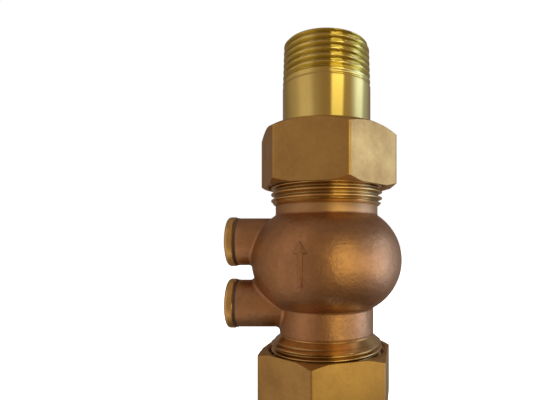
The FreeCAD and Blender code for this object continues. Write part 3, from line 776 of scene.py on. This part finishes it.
def make_casting():
    """The casting, with its two union threads cut and its edges softened."""
    bm = merged_copy("valve_body")
    make_neck_round(bm)
    soften(bm, EDGE_ROUND, 60, is_boss_rim)
    replace_wall(bm, in_upper_wall, UPPER_WALL, {
        3: END_ROWS, 4: rows_between(RING_TOP, OUTLET_FACE, UNION_PITCH), 5: END_ROWS,
    })
    replace_wall(bm, in_lower_wall, LOWER_WALL, {
        1: END_ROWS, 2: rows_between(INLET_FACE, NECK_CONE_FOOT, UNION_PITCH),
        3: rows_between(NECK_CONE_FOOT, NECK_BOTTOM, UNION_PITCH),
    })
    face_outwards(bm)
    cut_thread(
        bm, UNION_PITCH, UNION_RADIUS, RING_TOP + THREAD_RELIEF, OUTLET_FACE + UNION_PITCH,
        fades=(RING_RUN_OUT, THREAD_START),
    )
    cut_thread(
        bm, UNION_PITCH, UNION_RADIUS, INLET_FACE - UNION_PITCH, NECK_BOTTOM - NECK_STEP,
        fades=(THREAD_START, NECK_RUN_OUT),
    )
    for face in bm.faces:
        material = casting_material(face.calc_center_median())
        face.material_index = CASTING_MATERIALS.index(material)
    casting = add_piece("cast_body", bm, "valve", CASTING_MATERIALS)
    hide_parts("valve_body")


def on_the_ball(across, up, relief):
    """The place in front of the ball's skin, so far across, up from its centre and off the skin."""
    rise = math.asin(up / BALL_RADIUS)
    radius = BALL_OFFSET + (BALL_RADIUS + relief) * math.cos(rise)
    turn = math.asin(across / radius)
    height = BALL_HEIGHT + (BALL_RADIUS + relief) * math.sin(rise)
    return Vector((radius * math.sin(turn), -radius * math.cos(turn), height))


def make_flow_arrow():
    """A plain raised arrow, cast on the front of the ball, that shows which way the flow goes."""
    bm = bmesh.new()
    neck = ARROW_LENGTH - ARROW_HEAD_LENGTH
    outline = [
        (-ARROW_SHAFT, 0), (ARROW_SHAFT, 0), (ARROW_SHAFT, neck), (ARROW_HEAD, neck),
        (0, ARROW_LENGTH), (-ARROW_HEAD, neck), (-ARROW_SHAFT, neck),
    ]
    flat = bm.faces.new([bm.verts.new((across, 0, up)) for across, up in outline])
    raised = bmesh.ops.extrude_face_region(bm, geom=[flat], use_keep_orig=True)
    front = [item for item in raised["geom"] if isinstance(item, bmesh.types.BMVert)]
    thickness = ARROW_RELIEF + ARROW_SUNK

    def is_front_edge(edge):
        return all(vert.co.y < -thickness / 2 for vert in edge.verts)

    bmesh.ops.translate(bm, vec=(0, -thickness, 0), verts=front)
    face_outwards(bm)
    soften(bm, ARROW_ROUND, 40, is_front_edge, segments=3)
    # Levels 1 mm apart let the shaft follow the ball's curve
    for level in range(1, int(ARROW_LENGTH / MM)):
        cut_level(bm, level * MM)
    for vert in bm.verts:
        vert.co = on_the_ball(
            vert.co.x + ARROW_PLACE, vert.co.z + ARROW_FOOT, -vert.co.y - ARROW_SUNK)
    face_outwards(bm)
    arrow = add_piece("flow_arrow", bm, "valve", [CAST_BRONZE], smooth_angle=50)


# Nuts, tails, plugs and spring


def make_nut(side):
    """A union nut: a turned blank with its thread, cut to a hexagon."""
    node = f"{side}_union_nut"
    low, high = (corner.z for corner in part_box(node))
    closed, opened, up = (high, low, 1) if side == "upper" else (low, high, -1)
    shoulder = closed - up * NUT_SHOULDER
    outside = NUT_FLATS / math.sqrt(3) + TOOL_SPARE
    corners = [
        (TAIL_RADIUS + TAIL_CLEARANCE, closed),
        (NUT_CROWN, closed),
        (outside, closed - up * (outside - NUT_CROWN) * CHAMFER_SLOPE),
        (outside, opened + up * (outside - NUT_MOUTH) * CHAMFER_SLOPE),
        (NUT_MOUTH, opened),
        (NUT_BORE + THREAD_CHAMFER, opened),
        (NUT_BORE, opened + up * THREAD_CHAMFER),
        (NUT_BORE, shoulder),
        (TAIL_RADIUS + TAIL_CLEARANCE, shoulder),
    ]
    blank = bmesh.new()
    spun(blank, corners, cuts={5: END_ROWS, 6: rows_between(opened, shoulder, UNION_PITCH)})
    reach = sorted((opened - up * UNION_PITCH, shoulder - up * THREAD_RELIEF))
    fades = (THREAD_START, THREAD_START)
    cut_thread(blank, UNION_PITCH, NUT_BORE, *reach, fades, outside=False)
    face_outwards(blank)
    nut = add_piece(f"{side}_nut", blank, f"{side}_nut", [NUT_BRASS], smooth_angle=25)
    bar = hexagon_bar(
        NUT_FLATS, low - TOOL_SPARE, high + TOOL_SPARE, NUT_TURNS[side], NUT_CORNER_ROUND)
    combine(nut, bar, "INTERSECT")
    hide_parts(node)


def make_tail(side):
    """A tail: collar, shank and taper thread, turned from bar and bored."""
    node = f"{side}_tail"
    box_low, box_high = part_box(node)
    if side == "upper":
        inner, outer, up = box_low.z, box_high.z, 1
    else:
        inner, outer, up = box_high.z, box_low.z, -1
    collar = inner + up * TAIL_COLLAR
    thread = outer - up * TAIL_THREAD
    corners = [
        (TAIL_BORE, inner),
        (box_high.x, inner),
        (box_high.x, collar),
        (TAIL_RADIUS, collar),
        (TAIL_RADIUS, thread),
        (TAIL_END_RADIUS, outer - up * TAIL_CHAMFER),
        (TAIL_END_RADIUS - TAIL_CHAMFER, outer),
        (TAIL_BORE, outer),
    ]

    def is_softened(edge):
        away_from_end = abs(edge.verts[0].co.z - outer) > 2 * MM
        at_bore = all(abs(axis_distance(vert.co) - TAIL_BORE) < 0.01 * MM for vert in edge.verts)
        return away_from_end or at_bore

    bm = bmesh.new()
    spun(bm, corners, cuts={4: rows_between(thread, outer, UNION_PITCH), 5: END_ROWS})
    soften(bm, EDGE_ROUND, 40, is_softened)
    face_outwards(bm)
    # The thread goes on past the outer end, so it is cut there at full depth
    low, high = sorted((thread, outer + up * UNION_PITCH))
    crest = TAIL_END_RADIUS + TAPER * up * (outer - low)
    fades = (TAIL_RUN_OUT, THREAD_START) if up > 0 else (THREAD_START, TAIL_RUN_OUT)
    cut_thread(bm, UNION_PITCH, crest, low, high, fades, taper=-up * TAPER)
    tail = add_piece(f"{side}_turned_tail", bm, f"{side}_tail_piece", [TAIL_BRASS])
    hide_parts(node)


def make_plug(side, height):
    """A plug with a rounded collar, a hexagon socket and its thread, lying along -X."""
    end = WASHER + COLLAR_HEIGHT
    foot = WASHER - PLUG_THREAD
    angles = [math.radians(90 * step / EDGE_STEPS) for step in range(EDGE_STEPS + 1)]
    rounded_edge = [
        (PLUG_COLLAR - PLUG_EDGE * (1 - math.cos(angle)), end - PLUG_EDGE * (1 - math.sin(angle)))
        for angle in angles
    ]
    socket_rim = SOCKET_FLATS / math.sqrt(3) + SOCKET_LEAD
    socket_floor = SOCKET_FLATS / 2 - SOCKET_MARGIN
    drop = (socket_rim - socket_floor) * CHAMFER_SLOPE
    corners = [
        (0, foot),
        (PLUG_RADIUS - THREAD_CHAMFER, foot),
        (PLUG_RADIUS, foot + THREAD_CHAMFER),
        (PLUG_RADIUS, WASHER),
        (PLUG_COLLAR - PLUG_BACK_EDGE, WASHER),
        (PLUG_COLLAR, WASHER + PLUG_BACK_EDGE),
        *rounded_edge,
        (socket_rim, end),
        (socket_floor, end - drop),
        (0, end - drop),
    ]
    bm = bmesh.new()
    cuts = {1: END_ROWS, 2: rows_between(foot, WASHER, PLUG_PITCH)}
    spun(bm, corners, closed=False, cuts=cuts, columns=PLUG_COLUMNS)
    face_outwards(bm)
    cut_thread(
        bm, PLUG_PITCH, PLUG_RADIUS, foot - PLUG_PITCH, WASHER - THREAD_RELIEF,
        fades=(THREAD_START, PLUG_RUN_OUT),
    )
    plug = add_piece(
        f"{side}_socket_plug", bm, f"{side}_plug", [PLUG_BRASS[side]], smooth_angle=40)
    socket = hexagon_bar(SOCKET_FLATS, end - SOCKET_DEPTH, end + TOOL_SPARE, 0, corner_round=0)
    combine(plug, socket, "DIFFERENCE")
    # Painted shade inside the hexagon socket
    paint_socket_shade(plug.data, socket_rim - SOCKET_MARGIN, end - SOCKET_DEPTH, end - drop)
    turned = Matrix.Rotation(math.radians(-90), 4, "Y")
    plug.data.transform(Matrix.Translation((BOSS_END, 0, height)) @ turned)
    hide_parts(f"{side}_test_plug")


def paint_socket_shade(mesh, radius, low, high):
    """Marks the corners inside a plug's hexagon socket as deep, so that the plug's brass paints
    shade there and the socket turns out dark.
    """
    for vertex, kept in zip(mesh.vertices, mesh.attributes["groove"].data):
        in_socket = axis_distance(vertex.co) < radius
        if in_socket and low - SOCKET_MARGIN < vertex.co.z < high:
            kept.value = 1.0


def make_spring():
    """The closing spring: a round wire in a coil."""
    bm = bmesh.new()
    length = SPRING_HIGH - SPRING_LOW
    rise = (length - 2 * SPRING_WIRE) / SPRING_TURNS
    bmesh.ops.create_circle(bm, cap_ends=True, radius=SPRING_WIRE, segments=WIRE_SIDES)
    upright = Matrix.Rotation(math.radians(90), 4, "X")
    start = Matrix.Translation((SPRING_RADIUS, 0, SPRING_LOW + SPRING_WIRE))
    bmesh.ops.transform(bm, matrix=start @ upright, verts=bm.verts)
    bmesh.ops.spin(
        bm, geom=bm.verts[:] + bm.edges[:] + bm.faces[:], cent=(0, 0, 0), axis=(0, 0, 1),
        dvec=(0, 0, rise / SPRING_STEPS_PER_TURN), angle=FULL_TURN * SPRING_TURNS,
        steps=SPRING_TURNS * SPRING_STEPS_PER_TURN, use_merge=False, use_duplicate=False,
    )
    bmesh.ops.remove_doubles(bm, verts=bm.verts, dist=MERGE_DISTANCE)
    face_outwards(bm)
    spring = add_piece("closing_spring", bm, "valve", [SPRING_STEEL])
    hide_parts("return_spring")
    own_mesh(spring)


# Camera, floor and light


def make_camera():
    """The camera at the photograph's viewpoint, level, with its framing set by the shift."""
    data = bpy.data.cameras.new("camera")
    data.sensor_width = SENSOR_WIDTH
    data.lens = SENSOR_WIDTH * CAMERA_DISTANCE / (FRAME_WIDTH * PIXEL_AT_AXIS)
    data.shift_x = (FRAME_WIDTH / 2 - AXIS_COLUMN) / FRAME_WIDTH
    data.shift_y = (HORIZON_ROW - FRAME_HEIGHT / 2) / FRAME_WIDTH
    data.clip_start = 10 * MM
    camera = put_in_scene("camera", data)
    camera.location = (0, -CAMERA_DISTANCE, CAMERA_HEIGHT)
    camera.rotation_euler = (math.radians(90), 0, 0)
    bpy.context.scene.camera = camera


def make_lamp(name, azimuth, distance, height, size, power):
    """A soft square lamp that faces the valve. Azimuth 0 is over the camera, 90 to its right."""
    data = bpy.data.lights.new(name, "AREA")
    data.shape = "RECTANGLE"
    data.size = size
    data.size_y = size
    data.energy = power
    lamp = put_in_scene(name, data)
    angle = math.radians(azimuth)
    lamp.location = (distance * math.sin(angle), -distance * math.cos(angle), height)
    towards = Vector((0, 0, BALL_HEIGHT)) - lamp.location
    lamp.rotation_euler = towards.to_track_quat("-Z", "Y").to_euler()
    lamp.visible_camera = False
    lamp.visible_glossy = False


# What the bright metal reflects round the valve: degrees from the camera towards its right, and
# the colour there. A warm softbox stands to the right of the camera and a window on the far right.
WARM_WALL = (0.60, 0.44, 0.33)
SOFT_WALL = (0.42, 0.30, 0.21)
DIM_WALL = (0.36, 0.25, 0.17)
DARK_WALL = (0.28, 0.17, 0.095)
BACK_WALL = (0.20, 0.14, 0.11)
WALLS = [
    (-180, BACK_WALL), (-130, BACK_WALL), (-100, DIM_WALL), (-85, SOFT_WALL), (-68, WARM_WALL),
    (-45, WARM_WALL), (-30, DIM_WALL), (-8, DARK_WALL), (60, DARK_WALL), (120, BACK_WALL),
    (180, BACK_WALL),
]
NO_LIGHT = (0.0, 0.0, 0.0)
SOFTBOX = (1.52, 1.22, 0.50)
WINDOW = (1.10, 1.32, 1.72)
TABLE = (0.72, 0.62, 0.44)

# Each light has its colours round the valve, and the slopes from nothing to full at its lower and
# at its upper edge. A slope is a height over the ball's centre for each metre from the axis.
LIGHTS = [
    (
        [(-180, NO_LIGHT), (10, NO_LIGHT), (15, SOFTBOX), (41, SOFTBOX), (46, (0.12, 0.10, 0.06)),
         (62, (0.12, 0.10, 0.07)), (70, NO_LIGHT), (180, NO_LIGHT)],
        (-0.8, -0.1), (1.0, 0.4),
    ),
    (
        [(-180, NO_LIGHT), (62, NO_LIGHT), (72, (0.42, 0.48, 0.60)), (86, WINDOW), (101, WINDOW),
         (113, (0.28, 0.36, 0.46)), (140, (0.06, 0.08, 0.09)), (160, NO_LIGHT)],
        (-0.8, -0.2), (0.75, 0.45),
    ),
    (
        [(-180, NO_LIGHT), (40, NO_LIGHT), (47, TABLE), (76, TABLE), (86, NO_LIGHT)],
        (-0.5, -0.2), (0.34, 0.1),
    ),
]
CEILING = (0.30, 0.21, 0.15)
CEILING_SLOPES = (1.0, 1.6)
GROUND_SLOPES = (-0.9, -1.5)
SHADED_GROUND = (0.34, 0.34, 0.34)
SURROUND_RADIUS = 0.7
SURROUND_HEIGHT = 0.9
SURROUND_HOLE = 30 * MM
SURROUND_LIFT = 0.5 * MM
SURROUND_COLUMNS = 64

# The colours above go over 1, so the ramps keep a share of them and the glow makes up for it
GLOW_SHARE = 0.5


def ramp_place(azimuth):
    """The place of an azimuth on a ramp, 0 to 1."""
    return (azimuth + 180) / 360


def colours_around(tree, place, stops):
    """The colour at a place round the valve."""
    ramp = add_node(tree, "ValToRGB", {"Fac": place})
    elements = ramp.color_ramp.elements
    elements.remove(elements[-1])
    for index, (azimuth, shade) in enumerate(stops):
        element = elements[0] if index == 0 else elements.new(ramp_place(azimuth))
        element.position = ramp_place(azimuth)
        element.color = dimmed(shade, GLOW_SHARE)
    return ramp.outputs["Color"]


def make_surround_glow():
    """The material of the surround: it gives off what stands in each direction."""
    material = bpy.data.materials.new("surround_glow")
    material.use_nodes = True
    tree = material.node_tree
    tree.nodes.clear()
    where = add_node(tree, "TexCoord").outputs["Object"]
    parts = add_node(tree, "SeparateXYZ", {"Vector": where}).outputs
    turn = maths(tree, "ARCTAN2", parts["X"], maths(tree, "MULTIPLY", parts["Y"], -1.0))
    place = spread(tree, turn, -math.pi, math.pi)
    flat = vector_maths(tree, "MULTIPLY", where, (1, 1, 0))
    radius = vector_maths(tree, "LENGTH", flat, result="Value")
    slope = maths(tree, "DIVIDE", maths(tree, "SUBTRACT", parts["Z"], BALL_HEIGHT), radius)
    above = spread(tree, slope, *CEILING_SLOPES)
    below = spread(tree, slope, *GROUND_SLOPES)
    walls = colours_around(tree, place, WALLS)
    room = mixed(tree, above, walls, dimmed(CEILING, GLOW_SHARE))
    ground = vector_maths(tree, "MULTIPLY", walls, SHADED_GROUND)
    everything = mixed(tree, below, room, ground)
    for stops, lower_edge, upper_edge in LIGHTS:
        over_lower = spread(tree, slope, *lower_edge)
        under_upper = spread(tree, slope, *upper_edge)
        inside = maths(tree, "MULTIPLY", over_lower, under_upper)
        light = vector_maths(tree, "MULTIPLY", colours_around(tree, place, stops), inside)
        everything = vector_maths(tree, "ADD", everything, light)
    glow = add_node(tree, "Emission", {"Color": everything, "Strength": 1 / GLOW_SHARE})
    end_node = add_node(tree, "OutputMaterial")
    tree.links.new(glow.outputs[0], end_node.inputs["Surface"])
    return material


def make_surround():
    """A wide drum of walls, ceiling and ground round the valve, which only reflections see."""
    bm = bmesh.new()
    corners = [
        (SURROUND_HOLE, SURROUND_LIFT), (SURROUND_RADIUS, SURROUND_LIFT),
        (SURROUND_RADIUS, SURROUND_HEIGHT), (0, SURROUND_HEIGHT),
    ]
    spun(bm, corners, closed=False, columns=SURROUND_COLUMNS)
    mesh = mesh_from("surround", bm)
    mesh.materials.append(make_surround_glow())
    surround = put_in_scene("surround", mesh)
    surround.visible_camera = False
    surround.visible_diffuse = False
    surround.visible_shadow = False
    surround.visible_transmission = False


def seen_directly(tree):
    """1 for camera, glossy and transmission rays, and 0 for the rest."""
    path = add_node(tree, "LightPath").outputs
    either = maths(tree, "MAXIMUM", path["Is Camera Ray"], path["Is Glossy Ray"])
    return maths(tree, "MAXIMUM", either, path["Is Transmission Ray"])


def make_world(level):
    """A plain even light, with a white ground behind the valve."""
    world = bpy.data.worlds.new("studio")
    world.use_nodes = True
    tree = world.node_tree
    tree.nodes.clear()
    even = add_node(tree, "Background", {"Color": colour(1, 1, 1), "Strength": level})
    white = add_node(tree, "Background", {"Color": colour(1, 1, 1), "Strength": 1.0})
    values = {0: seen_directly(tree), 1: even.outputs[0], 2: white.outputs[0]}
    choice = add_node(tree, "MixShader", values)
    end_node = add_node(tree, "OutputWorld")
    tree.links.new(choice.outputs[0], end_node.inputs["Surface"])
    bpy.context.scene.world = world


def make_floor():
    """A pale floor that keeps the valve's shadow and fades into the white ground."""
    size = 6.0
    shadow_fade = (40 * MM, 95 * MM)
    glow_in_shadow = 0.25
    bm = bmesh.new()
    bmesh.ops.create_grid(bm, x_segments=1, y_segments=1, size=size)
    mesh = mesh_from("floor", bm)
    material, tree, shader, where = new_material("pale_floor", metallic=0.0)
    speckle = spread(tree, noise(tree, where, 40.0), 0.3, 0.7)
    pale = mixed(tree, speckle, colour(0.80, 0.80, 0.79), colour(0.84, 0.84, 0.83))
    link_colour(tree, shader, pale)
    shader.inputs["Roughness"].default_value = 0.8
    shader.inputs["Specular IOR Level"].default_value = 0.0
    distance = vector_maths(tree, "LENGTH", where, result="Value")
    level = spread(tree, distance, *shadow_fade, to_low=glow_in_shadow)
    glow = maths(tree, "MULTIPLY", seen_directly(tree), level)
    tree.links.new(glow, shader.inputs["Emission Strength"])
    shader.inputs["Emission Color"].default_value = colour(1, 1, 1)
    mesh.materials.append(material)
    put_in_scene("floor", mesh)


def make_light():
    """The lamps and the white ground, and what the metal reflects."""
    make_world(level=0.45)
    make_lamp("key_lamp", azimuth=30, distance=0.55, height=0.45, size=0.35, power=3.0)
    make_lamp("top_lamp", azimuth=-60, distance=0.30, height=0.75, size=0.6, power=3.0)
    make_surround()


dress_nodes()
make_casting()
make_flow_arrow()
for side in ("upper", "lower"):
    make_nut(side)
    make_tail(side)
for side, height in BOSS_HEIGHTS.items():
    make_plug(side, height)
make_spring()
make_camera()
make_floor()
make_light()

bpy.context.scene.view_settings.view_transform = "Standard"
